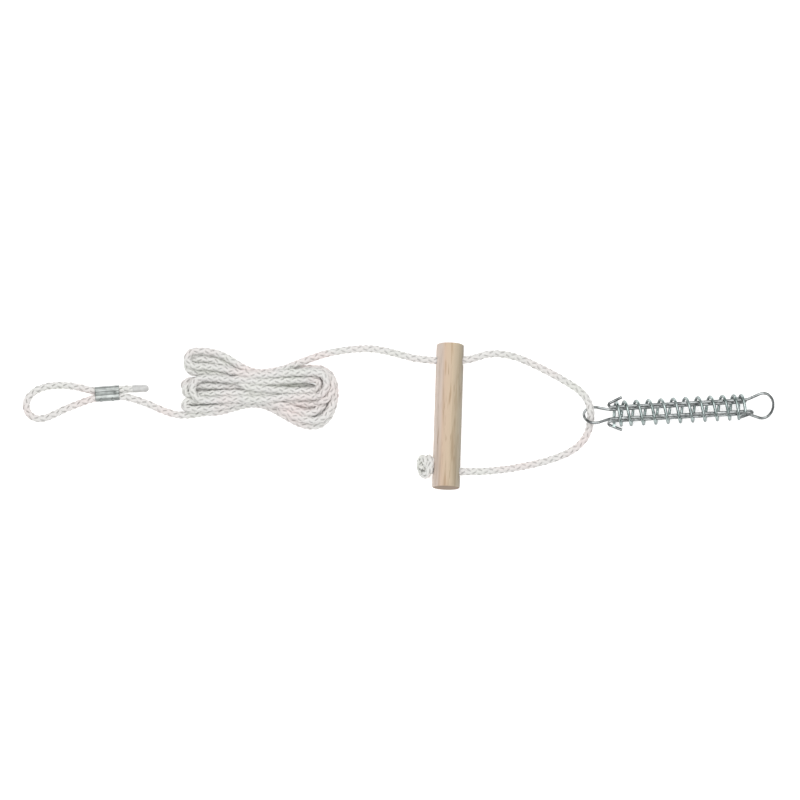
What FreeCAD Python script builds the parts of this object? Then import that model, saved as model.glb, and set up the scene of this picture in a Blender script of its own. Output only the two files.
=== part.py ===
"""Spring-tensioned tent guy line, laid out flat: rope eye, crimped ferrule, hank, runner, spring."""
import FreeCAD, Part
import math
import os

V = FreeCAD.Vector

# ---- driving dimensions, millimetres -------------------------------------------------------
rope_diameter = 6.0
tightest_rope_radius = 8.5          # the eye's end is folded this tight

runner_length = 116.2
runner_diameter = 22.0
runner_lean = 1.9                   # degrees away from square to the line
runner_centre = V(11.5, 0, runner_diameter / 2)
runner_edge = 1.2                   # rounding of the two end faces
hole_diameter = 7.4
hole_spacing = 89.6
hole_edge = 0.6                     # broken edge at both mouths of each hole

spring_turn = 3.2                   # degrees that the spring lies turned from the line
spring_start = V(142.2, 1.3, 12.9)  # centre of the coil's end plane next to the rope
coil_length = 107.0
coil_mean_radius = 9.45
coil_wire = 2.4
coil_turns = 11.85
closed_turns = 1.3                  # at each end
closed_pitch = 5.2

bar_wire = 2.3
bar_loop_reach = 23.4               # how far a loop stands out of the coil
bar_loop_half_width = 12.0
bar_leg_offset = 6.7                # each leg's distance from the spring's axis
bar_hook_radius = 2.1
bar_hook_arm = 10.5
bar_hook_splay = 27.0               # degrees between a hook's arm and its leg
rope_bar_roll = -48.0               # degrees about the spring's axis
peg_bar_roll = 42.0
rope_bar_hook_lead = (1.2, 4.4)     # how far its two hooks stand past the coil's end
peg_bar_hook_lead = (2.6, 2.4)

ferrule_length = 19.2
ferrule_wall = 0.55
ferrule_middle = V(-261.65, 19.5, 3.7)
ferrule_turn = 4.2                  # degrees
strand_spacing = 5.5                # the two strands in the ferrule are pressed together

hank_corner = 9.0                   # rounding of the hank's outer shape

knot_length = 20.0
knot_thickness = 12.2
knot_turn = 84.0                    # degrees, so that it lies along the runner
knot_centre = V(-7.4, -41.2, 11.4)

# ---- rope routes, millimetres ---------------------------------------------------------------
eye_outer = [(-261.9, 22.2, 3.7), (-272.6, 21.4, 3.5), (-285.6, 25.2, 3.2), (-298.6, 26.6, 3.1),
             (-311.7, 25.6, 3.1), (-322.0, 20.9, 3.1), (-327.2, 12.6, 3.1)]
eye_inner = [(-327.2, 12.6, 3.1), (-325.6, 3.6, 3.1), (-318.0, -1.6, 3.1), (-308.6, 0.3, 3.1),
             (-297.4, 6.2, 3.1), (-284.8, 11.4, 3.2), (-272.2, 15.9, 3.5), (-261.5, 16.7, 3.7)]
tail_route = [(-261.9, 22.2, 3.7), (-246.4, 23.4, 3.7), (-228.6, 23.9, 3.1)]
standing_route = [(-261.5, 16.7, 3.7), (-247.9, 17.6, 3.6), (-229.3, 11.6, 3.1),
                  (-213.6, 4.2, 3.1), (-198.6, 1.0, 3.4), (-186.0, 3.4, 4.6)]
running_route = [(-116.0, 39.6, 12.0), (-102.5, 45.8, 9.0), (-85.6, 52.4, 4.8), (-66.9, 55.8, 3.2),
                 (-48.2, 56.4, 4.6), (-29.6, 51.2, 9.0), (-11.2, 45.6, 11.0), (7.5, 45.0, 11.0)]
bridle_route = [(7.5, 45.0, 11.0), (26.3, 44.4, 11.0), (45.1, 51.9, 9.5), (64.3, 49.8, 8.2),
                (83.5, 41.0, 8.2), (102.7, 30.3, 10.0), (118.9, 19.6, 12.0), (125.6, 7.6, 12.6),
                (125.4, -6.4, 12.4), (121.2, -18.4, 9.8), (110.6, -28.0, 6.2), (92.3, -34.9, 4.2),
                (74.8, -39.0, 3.8), (54.4, -43.0, 6.0), (29.2, -45.4, 11.0), (-1.0, -44.4, 11.0)]


# ---- small geometry helpers -----------------------------------------------------------------
def points(route):
    return [V(*place) for place in route]


def corner_arc(before, corner, after, reach):
    """Arc tangent to both runs of a corner, starting and ending `reach` from it, and its radius."""
    arriving = (corner - before).normalize()
    leaving = (after - corner).normalize()
    half_turn = arriving.getAngle(leaving) / 2
    radius = reach / math.tan(half_turn)
    inward = (leaving - arriving).normalize()
    middle = corner + inward * (radius / math.cos(half_turn) - radius)
    return Part.Arc(corner - arriving * reach, middle, corner + leaving * reach), radius


def rounded_wire(corners, reaches):
    """Straight runs joined by tangent arcs. `reaches` has one length for each inner corner."""
    edges = []
    radii = []
    here = corners[0]
    for i, reach in enumerate(reaches, start=1):
        arc, radius = corner_arc(corners[i - 1], corners[i], corners[i + 1], reach)
        edges.append(Part.LineSegment(here, arc.StartPoint).toShape())
        edges.append(arc.toShape())
        here = arc.EndPoint
        radii.append(radius)
    edges.append(Part.LineSegment(here, corners[-1]).toShape())
    return Part.Wire(edges), radii


def swept(path, diameter):
    """Round bar of the given diameter along a path."""
    first = path.Edges[0]
    start = first.valueAt(first.FirstParameter)
    heading = first.tangentAt(first.FirstParameter)
    section = Part.Wire([Part.makeCircle(diameter / 2, start, heading)])
    return path.makePipeShell([section], True, False)


def rope_tube(name, route):
    """Tube of the rope's diameter whose bends are as large as their runs allow."""
    corners = points(route)
    runs = [a.distanceToPoint(b) for a, b in zip(corners, corners[1:])]
    reaches = [0.45 * min(pair) for pair in zip(runs, runs[1:])]
    path, radii = rounded_wire(corners, reaches)
    tube = swept(path, rope_diameter)
    expected = math.pi * rope_diameter**2 / 4 * path.Length
    print(f"{name}: length {path.Length:.1f}, radii {[round(r, 1) for r in radii]},"
          f" volume / expected {tube.Volume / expected:.4f}")
    if min(radii) < tightest_rope_radius:
        print(f"  {name} is bent tighter than the rope allows")
    return tube


def laid(shape, roll, turn, place):
    """Shape rolled about X, turned about Z, and moved so that its origin comes to `place`."""
    moved = shape.copy()
    moved.rotate(V(0, 0, 0), V(1, 0, 0), roll)
    moved.rotate(V(0, 0, 0), V(0, 0, 1), turn)
    moved.translate(place)
    return moved


# ---- rope ------------------------------------------------------------------------------------
def eye_rope():
    """The spliceless eye, from the middle of the ferrule out and back to it."""
    outer = rope_tube("eye, outer half", eye_outer)
    inner = rope_tube("eye, inner half", eye_inner)
    return outer.fuse(inner).Solids[0]


def hank_section(x, low, high, height):
    """Rounded rectangle across the hank at x, from y = low to y = high and standing on z = 0."""
    radius = min(hank_corner, height / 2.3)
    corners = [(low, 0), (high, 0), (high, height), (low, height)]
    corners = [V(x, y, z) for y, z in corners]
    start = V(x, (low + high) / 2, 0)
    loop = [start, corners[1], corners[2], corners[3], corners[0], start]
    return rounded_wire(loop, [radius] * 4)[0]


def rope_hank():
    """Outer shape of the spare rope: a hank of long turns, drawn in at the waist."""
    sections = [(-202.6, 8, 37, 17), (-199.0, 0, 45, 24), (-190.0, -2, 52, 28), (-178.0, -1, 55, 29),
                (-166.0, 3, 51.5, 28), (-154.0, 7, 42.5, 26), (-141.0, 8, 36.5, 24), (-129.0, 5.5, 36, 24),
                (-118.0, -3, 39, 26), (-106.0, -10, 41.5, 28), (-93.0, -11, 42.5, 28), (-83.0, -1, 40, 25),
                (-77.0, 12, 35, 18)]
    return Part.makeLoft([hank_section(*section) for section in sections], True, False)


def stopper_knot():
    """Overhand knot in the rope's end, close against the runner where the rope comes out of it."""
    oval = Part.Ellipse(V(0, 0, 0), knot_length / 2, knot_thickness / 2)
    half = Part.Arc(oval, 0, math.pi).toShape()
    across = Part.makeLine(half.Vertexes[-1].Point, half.Vertexes[0].Point)
    knot = Part.Face(Part.Wire([half, across])).revolve(V(0, 0, 0), V(1, 0, 0), 360)
    return laid(knot.Solids[0], 0, knot_turn, knot_centre)


# ---- runner ----------------------------------------------------------------------------------
def plain_rod():
    """Round rod along Y, centred on the origin."""
    return Part.makeCylinder(runner_diameter / 2, runner_length, V(0, -runner_length / 2, 0), V(0, 1, 0))


def wooden_runner():
    """The rod with rounded ends and two cross holes for the rope, square to it but for a slight lean."""
    rod = plain_rod()
    ends = [edge for edge in rod.Edges if isinstance(edge.Curve, Part.Circle)]
    rod = rod.makeFillet(runner_edge, ends)
    for side in (-1, 1):
        start = V(-runner_diameter, side * hole_spacing / 2, 0)
        rod = rod.cut(Part.makeCylinder(hole_diameter / 2, 2 * runner_diameter, start, V(1, 0, 0)))
    mouths = [edge for edge in rod.Edges if abs(edge.BoundBox.YLength - hole_diameter) < 0.1]
    rod = rod.makeFillet(hole_edge, mouths)
    return laid(rod.Solids[0], 0, -runner_lean, runner_centre)


# ---- ferrule ---------------------------------------------------------------------------------
def strand_rods(radius, length):
    """Two parallel rods along X, side by side in Y."""
    rods = [Part.makeCylinder(radius, length, V(-length / 2, side * strand_spacing / 2, 0), V(1, 0, 0))
            for side in (-1, 1)]
    return rods[0].fuse(rods[1])


def crimp_ferrule():
    """Sheet-steel sleeve pressed round the two strands, with a valley, a punch mark and a toothed seam."""
    bite = 0.35
    bore = rope_diameter / 2 - bite
    outside = bore + ferrule_wall
    filler = 1.7 * outside
    sleeve = strand_rods(outside, ferrule_length)
    web = Part.makeBox(ferrule_length, strand_spacing, filler,
                       V(-ferrule_length / 2, -strand_spacing / 2, -filler / 2))
    sleeve = sleeve.fuse(web).removeSplitter()
    sleeve = sleeve.cut(strand_rods(bore, ferrule_length + 2))
    opening = 2 * bore * 0.62
    sleeve = sleeve.cut(Part.makeBox(ferrule_length + 2, strand_spacing, opening,
                                     V(-ferrule_length / 2 - 1, -strand_spacing / 2, -opening / 2)))
    punch = Part.makeSphere(0.9, V(0.33 * ferrule_length, 0, filler / 2 + 0.55))
    sleeve = sleeve.cut(punch)
    seam_y = -strand_spacing / 2 - 0.72 * outside
    for x in (-0.27 * ferrule_length, 0.22 * ferrule_length):
        sleeve = sleeve.cut(seam_tooth(x, seam_y, outside))
    return laid(sleeve.Solids[0], 0, ferrule_turn, ferrule_middle)


def seam_tooth(x, y, depth):
    """Upright three-cornered prism that notches the sleeve's long seam."""
    half = 1.1
    corners = [V(x - half, y - 3, depth * 0.2), V(x + half, y - 3, depth * 0.2),
               V(x, y + 0.5, depth * 0.2)]
    outline = Part.makePolygon(corners + corners[:1])
    return Part.Face(outline).extrude(V(0, 0, depth))


# ---- spring ----------------------------------------------------------------------------------
def compression_spring():
    """Right-handed coil along X from 0 to its length, closed up at both ends."""
    turn = 2 * math.pi
    rise = coil_length - coil_wire
    closed_rise = closed_turns * closed_pitch
    pitch = (rise - 2 * closed_rise) / (coil_turns - 2 * closed_turns)
    first = -0.5 * turn
    bends = [(0, 0), (closed_turns, closed_rise), (closed_turns + 1, closed_rise + pitch),
             (coil_turns - closed_turns - 1, rise - closed_rise - pitch),
             (coil_turns - closed_turns, rise - closed_rise), (coil_turns, rise)]
    poles = [FreeCAD.Base.Vector2d(first + turns * turn, height) for turns, height in bends]
    line = Part.Geom2d.BSplineCurve2d()
    line.buildFromPolesMultsKnots(poles, [3, 1, 1, 1, 3], [0, 1, 2, 3, 4], False, 2)
    drum = Part.Cylinder()
    drum.Radius = coil_mean_radius
    path = Part.Wire([line.toShape(drum)])
    edge = path.Edges[0]
    section = Part.Wire([Part.makeCircle(coil_wire / 2, edge.valueAt(edge.FirstParameter),
                                         edge.tangentAt(edge.FirstParameter))])
    coil = path.makePipeShell([section], True, True)
    coil.rotate(V(0, 0, 0), V(1, 1, 1), 120)    # Z to X, X to Y, Y to Z
    coil.translate(V(coil_wire / 2, 0, 0))
    return laid(coil, 0, spring_turn, spring_start)


def drawbar(hook_leads):
    """Wire bar along X in the XY plane: loop out at -X, legs through the coil, hooks over its end."""
    wire_half = bar_wire / 2
    turn_back = math.radians(180 - bar_hook_splay)
    hook_reach = bar_hook_radius * math.tan(turn_back / 2)
    tip = wire_half - bar_loop_reach
    leg = [(-1.5, bar_leg_offset, 2.6), (tip + 6.6, bar_loop_half_width + 1.3, 5.2), (tip, 5.4, 4.6)]
    corners = []
    reaches = []
    for side, lead in zip((1, -1), hook_leads):
        bend = coil_length + lead - bar_hook_radius + hook_reach
        arm = hook_reach + bar_hook_arm
        hook_tip = (bend - arm * math.cos(math.radians(bar_hook_splay)),
                    bar_leg_offset + arm * math.sin(math.radians(bar_hook_splay)))
        half = [(*hook_tip, 0), (bend, bar_leg_offset, hook_reach)] + leg
        half = [(x, side * y, reach) for x, y, reach in half]
        half = half if side > 0 else half[::-1]
        corners += [V(x, y, 0) for x, y, _ in half]
        reaches += [reach for _, _, reach in half]
    return swept(rounded_wire(corners, reaches[1:-1])[0], bar_wire)


def rope_drawbar():
    """Bar whose loop hangs on the rope and whose hooks hold the coil's far end."""
    return laid(drawbar(rope_bar_hook_lead), rope_bar_roll, spring_turn, spring_start)


def peg_drawbar():
    """The same bar turned end for end, a quarter turn round: its loop goes over the ground peg."""
    bar = drawbar(peg_bar_hook_lead)
    bar.rotate(V(coil_length / 2, 0, 0), V(0, 0, 1), 180)
    return laid(bar, peg_bar_roll, spring_turn, spring_start)


def build():
    """Every piece by node name."""
    return {
        "eye_rope": eye_rope(),
        "rope_tail": rope_tube("tail", tail_route),
        "standing_rope": rope_tube("standing part", standing_route),
        "rope_hank": rope_hank(),
        "running_rope": rope_tube("run to the runner", running_route),
        "bridle_rope": rope_tube("bridle", bridle_route),
        "stopper_knot": stopper_knot(),
        "crimp_ferrule": crimp_ferrule(),
        "wooden_runner": wooden_runner(),
        "compression_spring": compression_spring(),
        "rope_drawbar": rope_drawbar(),
        "peg_drawbar": peg_drawbar(),
    }


os.makedirs("parts", exist_ok=True)
for node, shape in build().items():
    box = shape.BoundBox
    print(f"{node}: valid {shape.isValid()}, solids {len(shape.Solids)}, volume {shape.Volume:.0f},"
          f" x {box.XMin:.1f} to {box.XMax:.1f}, y {box.YMin:.1f} to {box.YMax:.1f},"
          f" z {box.ZMin:.2f} to {box.ZMax:.2f}")
    shape.exportStep(f"parts/{node}.step")
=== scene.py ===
"""Spring-tensioned tent guy line: rope eye with ferrule, hank, wooden runner and coil spring."""
import math

import bpy
import numpy as np
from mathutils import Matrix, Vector


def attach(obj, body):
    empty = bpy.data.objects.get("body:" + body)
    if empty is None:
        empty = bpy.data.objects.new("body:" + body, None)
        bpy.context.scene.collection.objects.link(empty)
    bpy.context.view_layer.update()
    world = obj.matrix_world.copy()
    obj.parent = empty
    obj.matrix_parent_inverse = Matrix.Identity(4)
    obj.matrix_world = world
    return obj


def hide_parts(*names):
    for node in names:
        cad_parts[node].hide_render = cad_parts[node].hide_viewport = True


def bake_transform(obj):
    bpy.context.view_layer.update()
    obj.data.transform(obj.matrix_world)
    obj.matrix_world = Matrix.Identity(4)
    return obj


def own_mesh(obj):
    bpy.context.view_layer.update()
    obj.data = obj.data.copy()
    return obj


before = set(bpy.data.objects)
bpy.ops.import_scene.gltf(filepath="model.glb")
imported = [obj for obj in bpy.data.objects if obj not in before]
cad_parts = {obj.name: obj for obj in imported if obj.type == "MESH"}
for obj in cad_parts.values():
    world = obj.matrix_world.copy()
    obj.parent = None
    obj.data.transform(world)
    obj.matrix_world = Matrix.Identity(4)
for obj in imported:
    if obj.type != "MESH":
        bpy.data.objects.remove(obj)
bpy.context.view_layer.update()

FULL_TURN = 2 * math.pi
MM = 0.001

# ---- driving dimensions, metres ---------------------------------------------------------------
ROPE = 0.006                        # rope diameter
LAY = 0.036                         # length in which a braid strand goes once round
STRAND_PAIRS = 4                    # strands each way round
STRAND_HALF_WIDTH = 0.00163
STRAND_HALF_THICKNESS = 0.00070
STRAND_CENTRE = 0.00206             # radius that the strands weave about
STRAND_WEAVE = 0.00038              # how far they rise and dip
CORE_RADIUS = 0.0024
ROPE_STEP = 0.00085                 # spacing of the rings along a strand
CORE_SIDES = 10
PRESSED = 0.91                      # strands of rope lie this share of a diameter apart
SQUEEZED = 0.80                     # share of its diameter that the rope keeps inside the ferrule

COIL_LENGTH = 0.107
COIL_RADIUS = 0.00945
COIL_WIRE = 0.0024
COIL_TURNS = 11.85
CLOSED_TURNS = 1.3
CLOSED_PITCH = 0.0052
COIL_CLOSED = 0.0085                # length of coil at each end that isn't squeezed
SPRING_TURN = math.radians(3.2)
SPRING_START = Vector((0.1422, 0.0013, 0.0129))
SPRING_AXIS = Vector((math.cos(SPRING_TURN), math.sin(SPRING_TURN), 0))

FUSED_END = 0.0145                  # length of the tail that is melted together
KNOT_LEAD = 0.0075                  # the knot's own piece of rope starts this far in the runner
KNOT_CENTRE = (-0.0066, -0.0411, 0.0112)
KNOT_SCALE = (-0.56, -1.24, 0.84)   # the knot is pulled flat against the runner
KNOT_LEAN = 0.12                    # and leans over its edge
KNOT_GAP = 0.98                     # its strands lie this share of a diameter apart
KNOT_SPACING = 0.0018               # of the points that it is tightened with
KNOT_HALF_SPAN = 0.0095             # half the distance that its ends are held apart
KNOT_ROUNDS = 400

RUNNER_LEAN = math.radians(1.9)     # away from square to the line

FERRULE_MIDDLE = Vector((-0.26165, 0.0195, 0.0037))
FERRULE_TURN = math.radians(4.2)
FERRULE_LENGTH = 0.0192
FERRULE_RADIUS = 0.00315
FERRULE_SPACING = 0.0055            # between the two strands in it

# ---- rope routes, metres ----------------------------------------------------------------------
TAIL = [(-0.2619, 0.0222, 0.0037), (-0.2464, 0.0234, 0.0037), (-0.2286, 0.0239, 0.0031)]
EYE_OUTER = [(-0.2619, 0.0222, 0.0037), (-0.2726, 0.0214, 0.0035), (-0.2856, 0.0252, 0.0032),
             (-0.2986, 0.0266, 0.0031), (-0.3117, 0.0256, 0.0031), (-0.3220, 0.0209, 0.0031),
             (-0.3272, 0.0126, 0.0031)]
EYE_INNER = [(-0.3272, 0.0126, 0.0031), (-0.3256, 0.0036, 0.0031), (-0.3180, -0.0016, 0.0031),
             (-0.3086, 0.0003, 0.0031), (-0.2974, 0.0062, 0.0031), (-0.2848, 0.0114, 0.0032),
             (-0.2722, 0.0159, 0.0035), (-0.2615, 0.0167, 0.0037)]
STANDING = [(-0.2615, 0.0167, 0.0037), (-0.2479, 0.0176, 0.0036), (-0.2293, 0.0116, 0.0031),
            (-0.2136, 0.0042, 0.0031), (-0.1986, 0.0010, 0.0034), (-0.1860, 0.0034, 0.0046)]
RUNNING = [(-0.1160, 0.0396, 0.0120), (-0.1025, 0.0458, 0.0090), (-0.0856, 0.0524, 0.0048),
           (-0.0669, 0.0558, 0.0032), (-0.0482, 0.0564, 0.0046), (-0.0296, 0.0512, 0.0090),
           (-0.0112, 0.0456, 0.0110), (0.0075, 0.0450, 0.0110)]
BRIDLE = [(0.0075, 0.0450, 0.0110), (0.0263, 0.0444, 0.0110), (0.0451, 0.0519, 0.0095),
          (0.0643, 0.0498, 0.0082), (0.0835, 0.0410, 0.0082), (0.1027, 0.0303, 0.0100),
          (0.1189, 0.0196, 0.0120), (0.1256, 0.0076, 0.0126), (0.1254, -0.0064, 0.0124),
          (0.1212, -0.0184, 0.0098), (0.1106, -0.0280, 0.0062), (0.0923, -0.0349, 0.0042),
          (0.0748, -0.0390, 0.0038), (0.0544, -0.0430, 0.0060), (0.0292, -0.0454, 0.0110),
          (-0.0010, -0.0444, 0.0110)]

# ---- the hank, millimetres --------------------------------------------------------------------
# The passes from one end to the other, in turn: y and height at the left end, the waist and the
# right end. The first goes to the right, the next to the left, and so on.
PASSES = [
    ((6.0, 3.1), (13.0, 3.1), (-7.5, 3.1)),
    ((12.5, 3.1), (28.6, 3.1), (41.0, 3.1)),
    ((5.0, 3.1), (18.2, 3.1), (-1.8, 3.1)),
    ((30.5, 3.1), (33.2, 3.1), (35.5, 3.1)),
    ((21.5, 3.1), (23.5, 3.1), (4.0, 3.1)),
    ((50.5, 3.1), (31.0, 8.1), (25.5, 3.1)),
    ((36.5, 3.1), (20.7, 8.1), (-4.6, 8.2)),
    ((13.5, 8.6), (26.0, 8.1), (38.5, 8.2)),
    ((6.0, 8.6), (15.5, 8.1), (1.2, 8.2)),
    ((25.5, 8.6), (23.4, 13.1), (33.0, 8.2)),
    ((16.5, 8.6), (18.2, 13.1), (9.8, 6.0)),
    ((46.5, 8.6), (28.6, 13.1), (36.5, 13.2)),
    ((36.0, 8.6), (20.8, 18.1), (20.5, 8.6)),
    ((30.5, 14.0), (25.8, 18.1), (30.0, 13.2)),
    ((12.5, 14.0), (15.0, 13.1), (15.0, 11.5)),
    ((39.5, 13.0), (31.0, 18.1), (34.5, 18.0)),
    ((53.0, 13.0), (33.6, 13.1), None),
]
# How far out each turn from one pass to the next reaches (x), and its height there.
RIGHT_TURNS = [(-77.5, 3.1), (-83.5, 3.1), (-89.5, 3.1), (-78.5, 9.0), (-86.0, 9.0), (-80.0, 15.0),
               (-90.0, 13.0), (-84.5, 19.0)]
LEFT_TURNS = [(-200.8, 3.1), (-201.2, 3.1), (-199.0, 3.1), (-200.3, 9.0), (-200.0, 9.0),
              (-198.3, 9.0), (-193.5, 14.5), (-198.0, 14.0)]
HANK_START = (-173.0, 6.0, 4.4)
HANK_LEAVES = (-128.0, 34.5, 13.0)
WAIST_X = -141.0
LEFT_DRAW = 37.0                    # how far from the waist the strands have fanned out
RIGHT_DRAW = 40.0
LEFT_DEPTH = 11.0                   # the longest that a turn is, along x
RIGHT_DEPTH = 17.0
RIGHT_SLANT = 0.10                  # the right end leans back below this y
RIGHT_SHOULDER = 26.0
LYING = 3.1                         # height of a strand that lies on the floor
WANDER = 0.5                        # how far a strand strays sideways on its way

# ---- how the hank settles ---------------------------------------------------------------------
SETTLE_SPACING = 0.0045             # metres between its points
SETTLE_ROUNDS = 160
HOLD = 0.10                         # share of the way back to its place that a point is drawn
EASE = 0.12                         # share of the way to the middle of its neighbours
STIFFNESS = 0.35                    # share of a run's wrong length that each of its ends takes up
PUSH = 0.28                         # share of an overlap that each of the two points takes up
OWN_BEND = 1.9                      # points nearer along the rope than this many gaps don't touch


# ---- lines ------------------------------------------------------------------------------------
def spline_line(route, resolution=24):
    """Points along the smooth line that has the route's points as control points."""
    curve = bpy.data.curves.new("line", "CURVE")
    curve.dimensions = "3D"
    curve.resolution_u = resolution
    spline = curve.splines.new("NURBS")
    spline.points.add(len(route) - 1)
    for point, place in zip(spline.points, route):
        point.co = (*place, 1)
    spline.order_u = 3
    spline.use_endpoint_u = True
    holder = bpy.data.objects.new("line", curve)
    mesh = bpy.data.meshes.new_from_object(holder)
    line = np.array([vertex.co for vertex in mesh.vertices], float)
    bpy.data.objects.remove(holder)
    bpy.data.curves.remove(curve)
    bpy.data.meshes.remove(mesh)
    return line


def distances(line):
    """How far along the line each of its points is."""
    return np.concatenate([[0], np.cumsum(np.linalg.norm(np.diff(line, axis=0), axis=1))])


def evenly(line, step):
    """The same line with points about `step` apart."""
    along = distances(line)
    wanted = np.linspace(0, along[-1], max(2, round(along[-1] / step) + 1))
    return np.stack([np.interp(wanted, along, line[:, axis]) for axis in range(3)], axis=1)


def unit(vectors):
    return vectors / np.linalg.norm(vectors, axis=-1, keepdims=True)


def frames_along(line):
    """Tangent, normal and binormal at each point of the line, turning as little as possible."""
    tangents = unit(np.gradient(line, axis=0))
    normals = np.empty_like(line)
    sideways = np.cross((0, 0, 1), tangents[0])
    normals[0] = unit(np.cross(tangents[0], sideways))
    for i in range(len(line) - 1):
        step = line[i + 1] - line[i]
        size = step @ step
        normal = normals[i] - 2 / size * (step @ normals[i]) * step
        tangent = tangents[i] - 2 / size * (step @ tangents[i]) * step
        change = tangents[i + 1] - tangent
        size = change @ change
        if size > 0:
            normal = normal - 2 / size * (change @ normal) * change
        normals[i + 1] = normal / np.linalg.norm(normal)
    return tangents, normals, np.cross(tangents, normals)


# ---- meshes -----------------------------------------------------------------------------------
class Rings:
    """Collects tubes made of rings of points, and turns them into one mesh with UVs along them."""

    def __init__(self):
        self.points = []
        self.faces = []
        self.uvs = []
        self.slots = []
        self.smooth = []
        self.count = 0

    def tube(self, rings, along, across_from=0.0, slot=0):
        """rings is (rings, points in a ring, 3); along is each ring's distance along the tube."""
        number, sides = rings.shape[:2]
        index = self.count + np.arange(number * sides).reshape(number, sides)
        after = np.roll(index, -1, axis=1)
        walls = np.stack([index[:-1], after[:-1], after[1:], index[1:]], axis=-1).reshape(-1, 4)
        self.points.append(rings.reshape(-1, 3))
        self.faces += walls.tolist()
        share = across_from + np.arange(sides + 1) / sides
        low, high = np.meshgrid(along[:-1], share[:-1], indexing="ij")
        up, over = np.meshgrid(along[1:], share[1:], indexing="ij")
        corners = np.stack([high, low, over, low, over, up, high, up], axis=-1)
        self.uvs += corners.reshape(-1, 2).tolist()
        for ring, place in ((index[0][::-1], along[0]), (index[-1], along[-1])):
            self.faces.append(ring.tolist())
            self.uvs += [(across_from, place)] * sides
        self.slots += [slot] * (len(walls) + 2)
        self.smooth += [True] * len(walls) + [False] * 2
        self.count += number * sides

    def piece(self, name, *finishes):
        mesh = bpy.data.meshes.new(name)
        mesh.from_pydata(np.concatenate(self.points).tolist(), [], self.faces)
        mesh.uv_layers.new(name="along")
        mesh.uv_layers["along"].data.foreach_set("uv", np.array(self.uvs, np.float32).ravel())
        mesh.polygons.foreach_set("use_smooth", self.smooth)
        mesh.polygons.foreach_set("material_index", self.slots)
        for finish in finishes:
            mesh.materials.append(finish)
        mesh.update()
        made = bpy.data.objects.new(name, mesh)
        bpy.context.scene.collection.objects.link(made)
        return made


def round_tube(line, radii, sides):
    """Rings of a round tube whose radius is given at each point of the line."""
    _, normals, binormals = frames_along(line)
    angles = FULL_TURN * np.arange(sides) / sides
    spokes = (np.cos(angles)[None, :, None] * normals[:, None]
              + np.sin(angles)[None, :, None] * binormals[:, None])
    return line[:, None] + np.asarray(radii)[:, None, None] * spokes


# ---- braided rope -----------------------------------------------------------------------------
class Rope:
    """The whole rope from end to end: its line, and the braid that any stretch of it shows."""

    def __init__(self, line):
        self.line = evenly(line, ROPE_STEP)
        self.along = distances(self.line)
        _, self.normals, self.binormals = frames_along(self.line)
        self.girth = np.ones(len(self.line))

    def squeeze(self, middle, axis, length):
        """Makes the rope thinner where it goes through a sleeve."""
        off = self.line - np.array(middle)
        inside = length / 2 - np.abs(off @ np.array(axis))
        near = np.linalg.norm(off, axis=1) < length
        self.girth -= (1 - SQUEEZED) * near * np.clip(inside / 0.0012, 0, 1)

    def stretch(self, start, end):
        """Index range of the stretch between two distances along the rope."""
        first, last = np.searchsorted(self.along, [start, end])
        return slice(first, min(last + 1, len(self.along)))

    def ring(self, part, radius, angle):
        """Points at a radius and angle about the line, which broadcast over its points."""
        normals = self.normals[part][:, None]
        binormals = self.binormals[part][:, None]
        spokes = np.cos(angle)[..., None] * normals + np.sin(angle)[..., None] * binormals
        return self.line[part][:, None] + (self.girth[part][:, None] * radius)[..., None] * spokes

    def braid(self, rings, part, sides=8):
        """Adds the stretch as strands that go over and under each other round a core."""
        along = self.along[part]
        lap = np.cos(STRAND_PAIRS * FULL_TURN * along / LAY)[:, None]
        around = FULL_TURN * np.arange(sides) / sides
        for way in (1, -1):
            rise = way * lap
            width = STRAND_HALF_WIDTH * (1 + 0.10 * rise)
            height = STRAND_HALF_THICKNESS * (1 + 0.12 * rise)
            centre = STRAND_CENTRE + STRAND_WEAVE * rise
            for k in range(STRAND_PAIRS):
                angle = way * FULL_TURN * along[:, None] / LAY + FULL_TURN * k / STRAND_PAIRS
                radius = centre + height * np.sin(around)
                sweep = angle + way * width * np.cos(around) / centre
                rings.tube(self.ring(part, radius, sweep), along, across_from=k + 10.0 * (way > 0))
        core_angles = FULL_TURN * np.arange(CORE_SIDES) / CORE_SIDES
        core = self.ring(part, np.full((len(along), CORE_SIDES), CORE_RADIUS),
                         np.broadcast_to(core_angles, (len(along), CORE_SIDES)))
        rings.tube(core, along, across_from=20.0)


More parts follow.
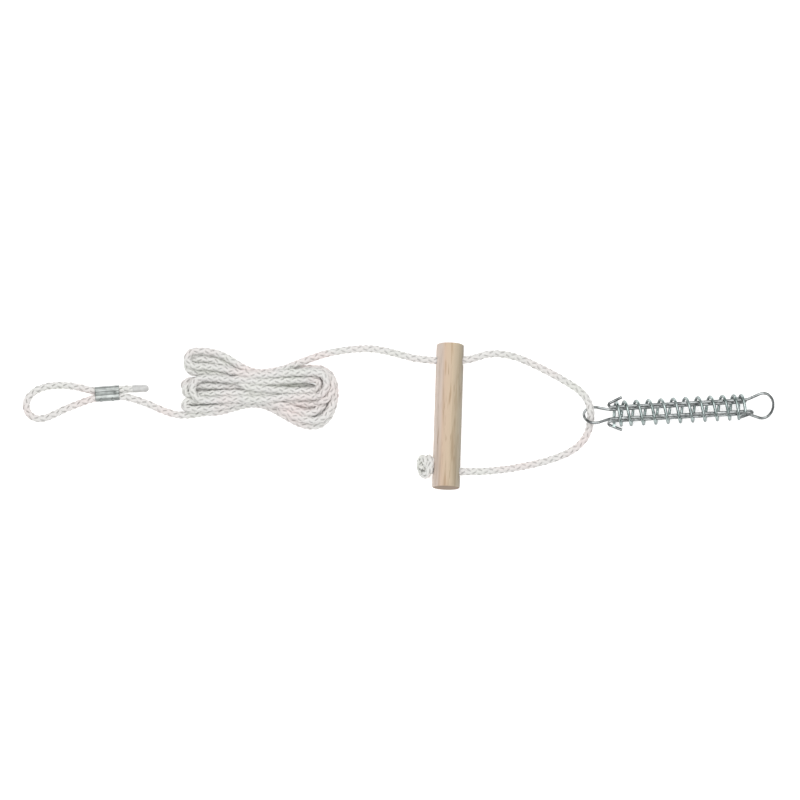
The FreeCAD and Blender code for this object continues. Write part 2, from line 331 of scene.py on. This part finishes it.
# ---- finishes ---------------------------------------------------------------------------------
class Finish:
    """A material, with short ways to add its nodes."""

    def __init__(self, name, **values):
        self.material = bpy.data.materials.new(name)
        self.material.use_nodes = True
        self.tree = self.material.node_tree
        self.shader = self.tree.nodes["Principled BSDF"]
        for socket, value in values.items():
            self.shader.inputs[socket.replace("_", " ")].default_value = value

    def node(self, kind, inputs=(), **settings):
        made = self.tree.nodes.new("ShaderNode" + kind)
        for setting, value in settings.items():
            setattr(made, setting, value)
        for socket, value in dict(inputs).items():
            if isinstance(value, bpy.types.NodeSocket):
                self.tree.links.new(value, made.inputs[socket])
            else:
                made.inputs[socket].default_value = value
        return made

    def link(self, value, socket):
        self.tree.links.new(value, self.shader.inputs[socket])

    def place(self, scale, turn=0.0):
        """Object coordinates, which are the part's own metres, turned about Z and then scaled."""
        coordinates = self.node("TexCoord").outputs["Object"]
        turned = self.node("Mapping", {"Vector": coordinates, "Rotation": (0, 0, turn)})
        scaled = self.node("Mapping", {"Vector": turned.outputs["Vector"], "Scale": scale})
        return scaled.outputs["Vector"]

    def strand(self, scale):
        """Coordinates across and along a strand of the rope or a wire."""
        coordinates = self.node("UVMap", uv_map="along").outputs["UV"]
        return self.node("Mapping", {"Vector": coordinates, "Scale": scale}).outputs["Vector"]

    def noise(self, place, scale, detail=2.0, roughness=0.5, distortion=0.0):
        return self.node("TexNoise", {"Vector": place, "Scale": scale, "Detail": detail,
                                      "Roughness": roughness,
                                      "Distortion": distortion}).outputs["Fac"]

    def ramp(self, value, stops):
        made = self.node("ValToRGB", {"Fac": value})
        elements = made.color_ramp.elements
        while len(elements) < len(stops):
            elements.new(0.5)
        for element, (position, colour) in zip(elements, stops):
            element.position = position
            element.color = (*colour, 1) if len(colour) == 3 else colour
        return made.outputs["Color"]

    def span(self, value, low, high, start=0.0, end=1.0):
        """The value moved from start..end to low..high."""
        return self.node("MapRange", {"Value": value, "From Min": start, "From Max": end,
                                      "To Min": low, "To Max": high}).outputs["Result"]

    def blend(self, share, first, second, kind="MIX"):
        made = self.node("Mix", data_type="RGBA", blend_type=kind)
        sockets = {s.identifier: s for s in made.inputs}
        for key, value in (("Factor_Float", share), ("A_Color", first), ("B_Color", second)):
            if isinstance(value, bpy.types.NodeSocket):
                self.tree.links.new(value, sockets[key])
            else:
                sockets[key].default_value = value if key == "Factor_Float" else (*value, 1)
        return next(s for s in made.outputs if s.identifier == "Result_Color")

    def maths(self, operation, first, second=0.0):
        made = self.node("Math", operation=operation)
        for socket, value in zip(made.inputs, (first, second)):
            if isinstance(value, bpy.types.NodeSocket):
                self.tree.links.new(value, socket)
            else:
                socket.default_value = value
        return made.outputs[0]

    def level(self):
        """How nearly level the surface is in the part's own frame, from 0 where it faces sideways
        to 1; the zinc finishes paint shade with it.
        """
        normal = self.node("TexCoord").outputs["Normal"]
        return self.maths("ABSOLUTE", self.node("SeparateXYZ", {"Vector": normal}).outputs["Z"])

    def bump(self, *layers):
        """Bump from (height, strength, distance) layers, each on top of the one before."""
        normal = None
        for height, strength, distance in layers:
            inputs = {"Height": height, "Strength": strength, "Distance": distance}
            if normal is not None:
                inputs["Normal"] = normal
            normal = self.node("Bump", inputs).outputs["Normal"]
        self.link(normal, "Normal")


def rope_finish():
    """White braided polypropylene: soft sheen, fine filaments, painted shade in the grooves between
    strands, faint tints.
    """
    finish = Finish("white_rope", Roughness=0.5, Sheen_Weight=0.2, Sheen_Roughness=0.4)
    filaments = finish.noise(finish.strand((26, 260, 1)), 1.0, detail=3.0, roughness=0.6)
    tint = finish.noise(finish.place((22, 34, 22)), 1.0, detail=1.0)
    base = finish.ramp(tint, [(0.30, (0.81, 0.825, 0.77)), (0.50, (0.835, 0.825, 0.805)),
                              (0.70, (0.88, 0.805, 0.785))])
    shade = finish.ramp(filaments, [(0.25, (0.80, 0.80, 0.80)), (0.65, (1.0, 1.0, 1.0))])
    base = finish.blend(0.8, base, shade, "MULTIPLY")
    # Painted shade: each strand's edges, where it dips beside its neighbours, are darkened in the
    # base colour.
    across = finish.node("SeparateXYZ", {"Vector": finish.strand((1, 1, 1))}).outputs["X"]
    past_crown = finish.maths("SUBTRACT", finish.maths("FRACT", across), 0.25)
    off_crown = finish.maths("ABSOLUTE", past_crown)
    groove = finish.ramp(off_crown, [(0.10, (1.0, 1.0, 1.0)), (0.24, (0.60, 0.60, 0.59))])
    finish.link(finish.blend(0.9, base, groove, "MULTIPLY"), "Base Color")
    finish.link(finish.span(filaments, 0.38, 0.62), "Roughness")
    finish.bump((filaments, 0.5, 0.00025))
    return finish.material


def fused_finish():
    """The melted end of the rope: smooth, slightly glossy and a little greyer."""
    finish = Finish("fused_rope", Roughness=0.35)
    cloud = finish.noise(finish.place((260, 420, 420)), 1.0, detail=3.0)
    colour = finish.ramp(cloud, [(0.3, (0.53, 0.53, 0.52)), (0.7, (0.66, 0.66, 0.65))])
    finish.link(colour, "Base Color")
    finish.bump((cloud, 0.5, 0.0004))
    return finish.material


def beech_finish():
    """Plain turned beech: fine grain along the rod, pores, streaks, darker end grain, and painted
    light and shade across the rod.
    """
    finish = Finish("beech", Roughness=0.55, Specular_IOR_Level=0.35)
    lean = RUNNER_LEAN
    grain = finish.noise(finish.place((230, 11, 230), lean), 1.0, detail=4.0, roughness=0.62,
                         distortion=0.4)
    bands = finish.noise(finish.place((75, 3.0, 75), lean), 1.0, detail=2.0)
    pores = finish.noise(finish.place((1100, 70, 1100), lean), 1.0, detail=1.0)
    streaks = finish.noise(finish.place((420, 45, 420), lean), 1.0, detail=1.0)
    # Painted light and shade: the colour runs from light and pinkish on one side of the rod to dark
    # and greyish on the other, as if the rod were lit from one side.
    across = finish.node("SeparateXYZ", {"Vector": finish.place((1, 1, 1), lean)}).outputs["X"]
    across = finish.maths("ADD", finish.span(across, 0, 1, 0.0005, 0.0225),
                          finish.span(bands, -0.3, 0.3))
    wood_and_painted_light = finish.ramp(across, [(0.00, (0.70, 0.60, 0.53)), (0.14, (0.67, 0.57, 0.50)),
                                (0.30, (0.66, 0.505, 0.38)), (0.52, (0.63, 0.51, 0.37)),
                                (0.74, (0.51, 0.435, 0.32)), (1.00, (0.33, 0.30, 0.245))])
    lines = finish.ramp(grain, [(0.32, (0.70, 0.64, 0.58)), (0.50, (0.96, 0.95, 0.94)),
                                (0.80, (1.0, 1.0, 1.0))])
    flecks = finish.ramp(pores, [(0.24, (0.62, 0.52, 0.44)), (0.34, (1.0, 1.0, 1.0))])
    dark = finish.ramp(streaks, [(0.26, (0.80, 0.72, 0.64)), (0.38, (1.0, 1.0, 1.0))])
    wood_and_painted_light = finish.blend(0.9, wood_and_painted_light, lines, "MULTIPLY")
    wood_and_painted_light = finish.blend(0.7, wood_and_painted_light, dark, "MULTIPLY")
    wood_and_painted_light = finish.blend(0.8, wood_and_painted_light, flecks, "MULTIPLY")
    facing = finish.node("SeparateXYZ", {"Vector": finish.node("NewGeometry").outputs["Normal"]})
    end_grain = finish.span(finish.maths("ABSOLUTE", facing.outputs["Y"]), 0, 1, 0.75, 0.92)
    finish.link(finish.blend(end_grain, wood_and_painted_light, (0.25, 0.17, 0.11)), "Base Color")
    finish.link(finish.span(grain, 0.48, 0.68), "Roughness")
    finish.bump((grain, 0.35, 0.0003), (pores, 0.4, 0.00015))
    return finish.material


def zinc_wire_finish(name, dull, bright, painted_flank_shade, roughness):
    """Drawn steel wire with a zinc coat: cloudy patches, specks, and painted shade that darkens the
    flanks.
    """
    finish = Finish(name, Metallic=1.0)
    clouds = finish.noise(finish.place((240, 240, 240)), 1.0, detail=4.0, roughness=0.6)
    specks = finish.noise(finish.place((2600, 2600, 2600)), 1.0, detail=1.0)
    colour = finish.ramp(clouds, [(0.3, dull), (0.7, bright)])
    spots = finish.ramp(specks, [(0.30, (0.82, 0.82, 0.82)), (0.45, (1.0, 1.0, 1.0))])
    colour = finish.blend(0.7, colour, spots, "MULTIPLY")
    # Painted shade: the base colour is darkened where the surface faces sideways in the part's
    # frame, so the top of the wire looks lit.
    sides = finish.ramp(finish.level(), [(0.10, painted_flank_shade), (0.70, (1.0, 1.0, 1.0))])
    finish.link(finish.blend(1.0, colour, sides, "MULTIPLY"), "Base Color")
    finish.link(finish.span(clouds, roughness - 0.07, roughness + 0.09), "Roughness")
    finish.bump((clouds, 0.25, 0.0003), (specks, 0.25, 0.00006))
    return finish.material


def zinc_sheet_finish():
    """Pressed zinc-plated sheet: soft gloss, faint rolling lines and painted shade that darkens the
    flanks.
    """
    finish = Finish("zinc_sheet", Metallic=1.0)
    rolled = finish.noise(finish.place((120, 1500, 1500)), 1.0, detail=2.0)
    clouds = finish.noise(finish.place((260, 260, 260)), 1.0, detail=4.0)
    colour = finish.ramp(clouds, [(0.3, (0.33, 0.35, 0.34)), (0.7, (0.53, 0.56, 0.545))])
    # Painted shade: the base colour is darkened where the surface faces sideways in the part's
    # frame.
    sides = finish.ramp(finish.level(), [(0.15, (0.30, 0.32, 0.32)), (0.75, (1.0, 1.0, 1.0))])
    finish.link(finish.blend(1.0, colour, sides, "MULTIPLY"), "Base Color")
    finish.link(finish.span(rolled, 0.34, 0.50), "Roughness")
    finish.bump((rolled, 0.25, 0.0001), (clouds, 0.3, 0.0003))
    return finish.material


WHITE_ROPE = rope_finish()
FUSED = fused_finish()
BEECH = beech_finish()
# The third colour given to each wire is the painted shade on its flanks.
COIL_ZINC = zinc_wire_finish("zinc_wire", (0.20, 0.26, 0.25), (0.63, 0.71, 0.70),
                             (0.24, 0.26, 0.26), 0.22)
BRIGHT_WIRE = zinc_wire_finish("bright_wire", (0.10, 0.11, 0.11), (0.56, 0.59, 0.59),
                               (0.10, 0.10, 0.10), 0.16)
ZINC_SHEET = zinc_sheet_finish()


def repaint(node, finish):
    """Gives a CAD node its finish."""
    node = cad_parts[node]
    for slot in node.material_slots:
        slot.material = finish
    if not node.material_slots:
        node.data.materials.append(finish)


repaint("wooden_runner", BEECH)
repaint("rope_drawbar", BRIGHT_WIRE)
repaint("peg_drawbar", BRIGHT_WIRE)


# ---- hank -------------------------------------------------------------------------------------
def drawn_in(x, left, waist, right):
    """y and height of a strand at x, from its places at the left end, waist and right end."""
    lobe, reach = (left, LEFT_DRAW) if x < WAIST_X else (right, RIGHT_DRAW)
    share = min(1.0, abs(x - WAIST_X) / reach)
    share = share * share * (3 - 2 * share)
    return [middle + (far - middle) * share for middle, far in zip(waist, lobe)]


def level_pass(x_from, x_to, left, waist, right):
    """Points of a strand from one lobe to the other."""
    spots = []
    for share in (0.0, 0.17, 0.33, 0.5, 0.67, 0.83, 1.0):
        x = x_from + (x_to - x_from) * share
        y, z = drawn_in(x, left, waist, right)
        spots.append((x, y + WANDER * math.sin(x / 9 + 2.1 * waist[0]), z))
    return spots


def flat_turn(start, end, reach, height, side):
    """Points round one end of the hank from one pass to the next, and the x where they begin."""
    middle, half = (start[0] + end[0]) / 2, (end[0] - start[0]) / 2
    depth = min(abs(half), RIGHT_DEPTH if side > 0 else LEFT_DEPTH)
    slant = RIGHT_SLANT if side > 0 else 0.0
    count = 5 if abs(half) < 9 else 7
    spots = []
    for number in range(count):
        turn = math.pi * ((number + 0.5) / count - 0.5)
        y = middle + half * math.sin(turn)
        level = start[1] + (end[1] - start[1]) * (1 + math.sin(turn)) / 2
        back = depth * (1 - math.cos(turn) ** 0.65) + slant * max(0, RIGHT_SHOULDER - y)
        spots.append((reach - side * back, y, level + (height - level) * math.cos(turn)))
    return spots, reach - side * depth


def rough_hank():
    """The hank's turns before they settle against each other, millimetres."""
    route = [HANK_START]
    x_now = -165.0
    turns = [turn for pair in zip(RIGHT_TURNS, LEFT_TURNS) for turn in pair]
    for number, (reach, height) in enumerate(turns):
        end, side = (2, 1) if number % 2 == 0 else (0, -1)
        spots, x_end = flat_turn(PASSES[number][end], PASSES[number + 1][end], reach, height, side)
        route += level_pass(x_now, x_end, *PASSES[number]) + spots
        x_now = x_end
    left, waist, _ = PASSES[-1]
    route += [(x, *drawn_in(x, left, waist, left)) for x in (x_now, -172, -160, -150, WAIST_X)]
    return route + [HANK_LEAVES]


def settled(line, loose, gap, rounds):
    """The line after its loose points have moved `gap` apart and into smooth bends."""
    home = line.copy()
    rest = np.linalg.norm(np.diff(line, axis=0), axis=1).mean()
    count = len(line)
    places = np.arange(count)
    apart = np.abs(np.subtract.outer(places, places)) > OWN_BEND * gap / rest
    for _ in range(rounds):
        moved = line + HOLD * (home - line)
        moved[1:-1] += EASE * ((line[:-2] + line[2:]) / 2 - line[1:-1])
        for _ in range(2):
            runs = np.diff(moved, axis=0)
            sizes = np.linalg.norm(runs, axis=1, keepdims=True)
            pull = STIFFNESS * (sizes - rest) / sizes * runs
            moved[:-1] += pull
            moved[1:] -= pull
        moved = pushed_apart(moved, apart, gap)
        moved[:, 2] = np.maximum(moved[:, 2], LYING * MM)
        line = np.where(loose[:, None], moved, home)
    return line


def pushed_apart(line, apart, gap):
    """The line with each two points that may touch moved away from each other, towards `gap`."""
    between = line[:, None] - line[None]
    reach = np.linalg.norm(between, axis=2)
    push = np.where(apart & (reach < gap), (gap - reach) / np.maximum(reach, 0.1 * gap), 0)
    return line + PUSH * (push[..., None] * between).sum(axis=1)


def hank_route(before, after):
    """Control points of the hank, from the end of the line before it to the start of the next."""
    head = evenly(before, SETTLE_SPACING)[-10:]
    tail = evenly(after, SETTLE_SPACING)[:9]
    rough = [tuple(before[-1])] + [tuple(MM * v for v in spot) for spot in rough_hank()]
    middle = evenly(spline_line(rough + [tuple(after[0])]), SETTLE_SPACING)
    line = np.concatenate([head, middle[1:-1], tail])
    loose = np.zeros(len(line), bool)
    loose[len(head) + 1:len(line) - len(tail) - 1] = True
    line = settled(line, loose, PRESSED * ROPE, SETTLE_ROUNDS)
    return line[len(head) - 1:len(line) - len(tail) + 1]


EYE_ROUTE = (STANDING[::-1] + EYE_INNER[-2::-1] + EYE_OUTER[-2::-1] + TAIL[1:])
eye_line = spline_line(EYE_ROUTE)
run_line = spline_line(RUNNING)
bridle_line = spline_line(BRIDLE)
hank_line = spline_line(hank_route(eye_line[::-1], run_line))

lines = [eye_line[::-1], hank_line, run_line, bridle_line]
sizes = [distances(line)[-1] for line in lines]
rope = Rope(np.concatenate([lines[0]] + [line[1:] for line in lines[1:]]))
rope.squeeze(FERRULE_MIDDLE, (math.cos(FERRULE_TURN), math.sin(FERRULE_TURN), 0), FERRULE_LENGTH)
ends = np.concatenate([[0], np.cumsum(sizes)])


def braided(name, start, end):
    """A piece of the rope between two distances along it."""
    rings = Rings()
    rope.braid(rings, rope.stretch(start, end))
    return rings.piece(name, WHITE_ROPE)


def eye_piece():
    """The rope from the hank round the eye to its tail, whose end is melted and rounded."""
    rings = Rings()
    rope.braid(rings, rope.stretch(ends[0] + 0.85 * FUSED_END, ends[1]))
    part = rope.stretch(0, FUSED_END)
    along = rope.along[part]
    from_tip = along / FUSED_END
    dome = np.sqrt(1 - (1 - np.minimum(1, from_tip / 0.22 + 0.12)) ** 2)
    neck = 1 - 0.12 * np.clip((from_tip - 0.8) / 0.2, 0, 1)
    ripple = 1 + 0.02 * np.sin(9 * from_tip + 1)
    rings.tube(round_tube(rope.line[part], 0.50 * ROPE * dome * neck * ripple, 28), along, slot=1)
    return rings.piece("eye_line", WHITE_ROPE, FUSED)


eye_cord = eye_piece()
half = (ends[1] + ends[2]) / 2
inner_turns = braided("hank_first_turns", ends[1], half)
outer_turns = braided("hank_last_turns", half, ends[2])
run_cord = braided("run_to_runner", ends[2], ends[3])
bridle_end = ends[4] - KNOT_LEAD
bridle_cord = braided("bridle", ends[3], bridle_end)

for cord in (eye_cord, inner_turns, outer_turns):
    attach(cord, "line")
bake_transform(run_cord)
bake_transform(bridle_cord)


# ---- stopper knot -----------------------------------------------------------------------------
def tight_overhand(gap, spacing, half_span, rounds):
    """An overhand knot along X that has been drawn up until its turns press on each other."""
    t = np.linspace(-2.15, 2.15, 600)
    line = 0.6 * gap * np.stack([t**3 - 3 * t, t**4 - 4 * t**2, 0.3 * (t**5 - 10 * t)], axis=1)
    line = evenly(line, spacing)
    axis = unit(line[-1] - line[0])
    middle = (line[0] + line[-1]) / 2
    for _ in range(rounds):
        places = np.arange(len(line))
        apart = np.abs(np.subtract.outer(places, places)) > OWN_BEND * gap / spacing
        line[1:-1] += 0.5 * ((line[:-2] + line[2:]) / 2 - line[1:-1])
        line[0] += 0.1 * (middle - half_span * axis - line[0])
        line[-1] += 0.1 * (middle + half_span * axis - line[-1])
        for _ in range(4):
            line = pushed_apart(line, apart, gap)
        line = evenly(line, spacing)
    centred = line - line.mean(axis=0)
    across = centred[0] + centred[-1]
    across = unit(across - (across @ axis) * axis)
    return centred @ np.stack([axis, across, np.cross(axis, across)]).T


def knot_piece():
    """The rope's end after it leaves the runner's lower hole."""
    tight = tight_overhand(KNOT_GAP * ROPE, KNOT_SPACING, KNOT_HALF_SPAN, KNOT_ROUNDS)
    local = tight[3:-3] * KNOT_SCALE
    local[:, 0] += KNOT_LEAN * local[:, 2]
    knotted = local + KNOT_CENTRE
    lead = rope.line[rope.stretch(bridle_end, ends[4])][::4]
    end = Rope(spline_line(np.concatenate([lead, knotted])))
    rings = Rings()
    end.braid(rings, slice(0, len(end.along)))
    return rings.piece("rope_knot", WHITE_ROPE)


knot = knot_piece()
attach(knot, "runner")
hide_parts("stopper_knot")


# ---- ferrule ----------------------------------------------------------------------------------
def ferrule_outline():
    """y and z of points round the sleeve's section, before it is pressed."""
    half = FERRULE_SPACING / 2
    arc = np.radians(np.linspace(0, 180, 72, endpoint=False))
    flat = np.linspace(half, -half, 40, endpoint=False)
    y = np.concatenate([half + FERRULE_RADIUS * np.sin(arc[::-1]), flat,
                        -half - FERRULE_RADIUS * np.sin(arc), -flat])
    z = np.concatenate([-FERRULE_RADIUS * np.cos(arc[::-1]), np.full(40, FERRULE_RADIUS),
                        FERRULE_RADIUS * np.cos(arc), np.full(40, -FERRULE_RADIUS)])
    return y, z


def ferrule_piece():
    """Sheet sleeve pressed round both strands: a ribbed valley, a punch mark, a toothed seam."""
    y, z = ferrule_outline()
    x = np.linspace(-FERRULE_LENGTH / 2, FERRULE_LENGTH / 2, 110)[:, None]
    y, z = np.broadcast_to(y, (len(x), len(y))), np.broadcast_to(z, (len(x), len(z)))
    x = np.broadcast_to(x, y.shape)
    valley = 0.00105 * np.exp(-(y / 0.00125) ** 2) - 0.00062 * np.exp(-(y / 0.00042) ** 2) * (z > 0)
    off_centre = np.hypot(x - 0.33 * FERRULE_LENGTH, y)
    punch = 0.0007 * np.exp(-(off_centre / 0.0008) ** 4) * (z > 0)
    z = z - np.sign(z) * (valley + punch)
    seam = -0.0052 + 0.00014 * np.sin(x / 0.0011)
    tabs = np.zeros_like(x)
    for tooth in (-0.27, 0.22):
        off = np.abs(x - tooth * FERRULE_LENGTH)
        seam = seam + 0.0014 * np.clip(1 - off / 0.0014, 0, 1)
        tabs += np.exp(-(off / 0.0010) ** 4)
    lapped = 1 / (1 + np.exp((seam - y) / 0.00004)) * (z > 0)
    groove = np.exp(-((seam - 0.00022 - y) / 0.00022) ** 4) * (z > 0)
    tabs *= np.exp(-((y + 0.0057) / 0.0004) ** 2) * (z > 0)
    from_end = FERRULE_LENGTH / 2 - np.abs(x)
    lip = 0.00018 * np.exp(-from_end / 0.00025)
    wave = 0.00005 * np.sin(x / 0.0021 + 1) * np.sin(y / 0.0017)
    swell = 1 + (0.00028 * lapped - 0.00060 * groove + 0.00055 * tabs - lip + wave) / FERRULE_RADIUS
    lobe = np.clip(y, -FERRULE_SPACING / 2, FERRULE_SPACING / 2)
    y, z = lobe + (y - lobe) * swell, z * swell
    cos, sin = math.cos(FERRULE_TURN), math.sin(FERRULE_TURN)
    points = np.stack([x * cos - y * sin, x * sin + y * cos, z], axis=2) + np.array(FERRULE_MIDDLE)
    rings = Rings()
    rings.tube(points[:, ::-1], x[:, 0] + FERRULE_LENGTH / 2)
    return rings.piece("pressed_ferrule", ZINC_SHEET)


ferrule = ferrule_piece()
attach(ferrule, "line")
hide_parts("crimp_ferrule")


# ---- spring -----------------------------------------------------------------------------------
def coil_line():
    """Centreline of the coil, closed up at both ends, and how far along the axis each point is."""
    rise = COIL_LENGTH - COIL_WIRE
    closed_rise = CLOSED_TURNS * CLOSED_PITCH
    pitch = (rise - 2 * closed_rise) / (COIL_TURNS - 2 * CLOSED_TURNS)
    bends = [(0, 0, 0), (CLOSED_TURNS, closed_rise, 0), (CLOSED_TURNS + 1, closed_rise + pitch, 0),
             (COIL_TURNS - CLOSED_TURNS - 1, rise - closed_rise - pitch, 0),
             (COIL_TURNS - CLOSED_TURNS, rise - closed_rise, 0), (COIL_TURNS, rise, 0)]
    turns, heights, _ = evenly(spline_line(bends), 0.012).T
    angles = FULL_TURN * (turns - 0.5)
    local = np.stack([heights + COIL_WIRE / 2, COIL_RADIUS * np.cos(angles),
                      COIL_RADIUS * np.sin(angles)], axis=1)
    return placed_on_spring(local), local[:, 0]


def placed_on_spring(local):
    """Points given along and about the spring's axis, in the part's frame."""
    side = np.array([-SPRING_AXIS.y, SPRING_AXIS.x, 0])
    up = np.array([0, 0, 1.0])
    return (np.array(SPRING_START) + local[:, :1] * np.array(SPRING_AXIS)
            + local[:, 1:2] * side + local[:, 2:] * up)


def coil_piece(name, start, end):
    """The stretch of the coil between two places along its axis."""
    line, heights = coil_line()
    part = slice(np.searchsorted(heights, start), np.searchsorted(heights, end) + 1)
    rings = Rings()
    rings.tube(round_tube(line, np.full(len(line), COIL_WIRE / 2), 16)[part], distances(line)[part])
    made = rings.piece(name, COIL_ZINC)
    return made


# The closed turns keep their shape: one end goes with the hooks that pull it, the other stays.
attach(coil_piece("coil_pulled_end", 0, COIL_CLOSED), "peg_bar")
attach(coil_piece("coil_held_end", COIL_LENGTH - COIL_CLOSED, COIL_LENGTH), "coil")
coil = coil_piece("coil_spring", COIL_CLOSED, COIL_LENGTH - COIL_CLOSED)
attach(coil, "coil")
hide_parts("compression_spring")
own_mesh(coil)


# ---- stage ------------------------------------------------------------------------------------
def stage():
    """White floor, an overhead softbox, and a camera far above the near side."""
    world = bpy.data.worlds.new("studio")
    bpy.context.scene.world = world
    world.use_nodes = True
    nodes, links = world.node_tree.nodes, world.node_tree.links
    height = nodes.new("ShaderNodeSeparateXYZ")
    links.new(nodes.new("ShaderNodeTexCoord").outputs["Generated"], height.inputs["Vector"])
    sky = nodes.new("ShaderNodeValToRGB")
    links.new(height.outputs["Z"], sky.inputs["Fac"])
    links.new(sky.outputs["Color"], nodes["Background"].inputs["Color"])
    for element, (position, grey) in zip(sky.color_ramp.elements, ((0.12, 0.18), (0.75, 0.86))):
        element.position = position
        element.color = (grey, grey, grey, 1)
    nodes["Background"].inputs["Strength"].default_value = 0.85

    mesh = bpy.data.meshes.new("floor")
    mesh.from_pydata([(-6, -6, 0), (6, -6, 0), (6, 6, 0), (-6, 6, 0)], [], [(0, 1, 2, 3)])
    floor = bpy.data.objects.new("floor", mesh)
    bpy.context.scene.collection.objects.link(floor)
    paint = Finish("floor_white", Base_Color=(0.90, 0.90, 0.90, 1), Roughness=0.9,
                   Emission_Color=(1, 1, 1, 1), Emission_Strength=0.50)
    mesh.materials.append(paint.material)

    for name, place, size, power in (("softbox", (-0.26, 0.32, 1.3), 1.6, 10.0),
                                     ("fill", (0.7, -0.8, 1.2), 1.0, 4.1)):
        light = bpy.data.lights.new(name, "AREA")
        light.size = size
        light.energy = power
        lamp = bpy.data.objects.new(name, light)
        lamp.location = place
        lamp.rotation_mode = "QUATERNION"
        lamp.rotation_quaternion = (-Vector(place)).to_track_quat("-Z", "Y")
        bpy.context.scene.collection.objects.link(lamp)

    camera = bpy.data.cameras.new("camera")
    camera.sensor_width = 36
    distance, shown_width = 2.5, 0.640
    camera.lens = camera.sensor_width * distance / shown_width
    camera.clip_end = 20
    target = Vector((-0.0269, 0.0132, 0.010))
    elevation = math.radians(80)
    back = Vector((0, -math.cos(elevation), math.sin(elevation)))
    eye = bpy.data.objects.new("camera", camera)
    eye.location = target + back * distance
    eye.rotation_mode = "QUATERNION"
    eye.rotation_quaternion = (-back).to_track_quat("-Z", "Y")
    bpy.context.scene.collection.objects.link(eye)
    bpy.context.scene.camera = eye
    bpy.context.scene.view_settings.view_transform = "Standard"


stage()


# ---- what the cords are -----------------------------------------------------------------------
def corded(piece, start, end, **facts):
    """Works out the path of a stretch of the rope, which runs from its exit."""
    line = rope.line[rope.stretch(start, end)]
    path = line[np.linspace(0, len(line) - 1, len(line) // 3).round().astype(int)]
    if facts.pop("from_end", False):
        path = path[::-1]


corded(eye_cord, ends[0], ends[1], far_end="bare", lay="loose", from_end=True)
corded(inner_turns, ends[1], half, far_end="object", lay="coiled")
corded(outer_turns, half, ends[2], far_end="object", lay="coiled")
corded(run_cord, ends[2], ends[3], far_end="object", lay="loose")
corded(bridle_cord, ends[3], bridle_end, far_end="knot", lay="loose", with_pieces=[knot])

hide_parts("eye_rope", "rope_tail", "standing_rope")
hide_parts("rope_hank")
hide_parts("running_rope")
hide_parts("bridle_rope")
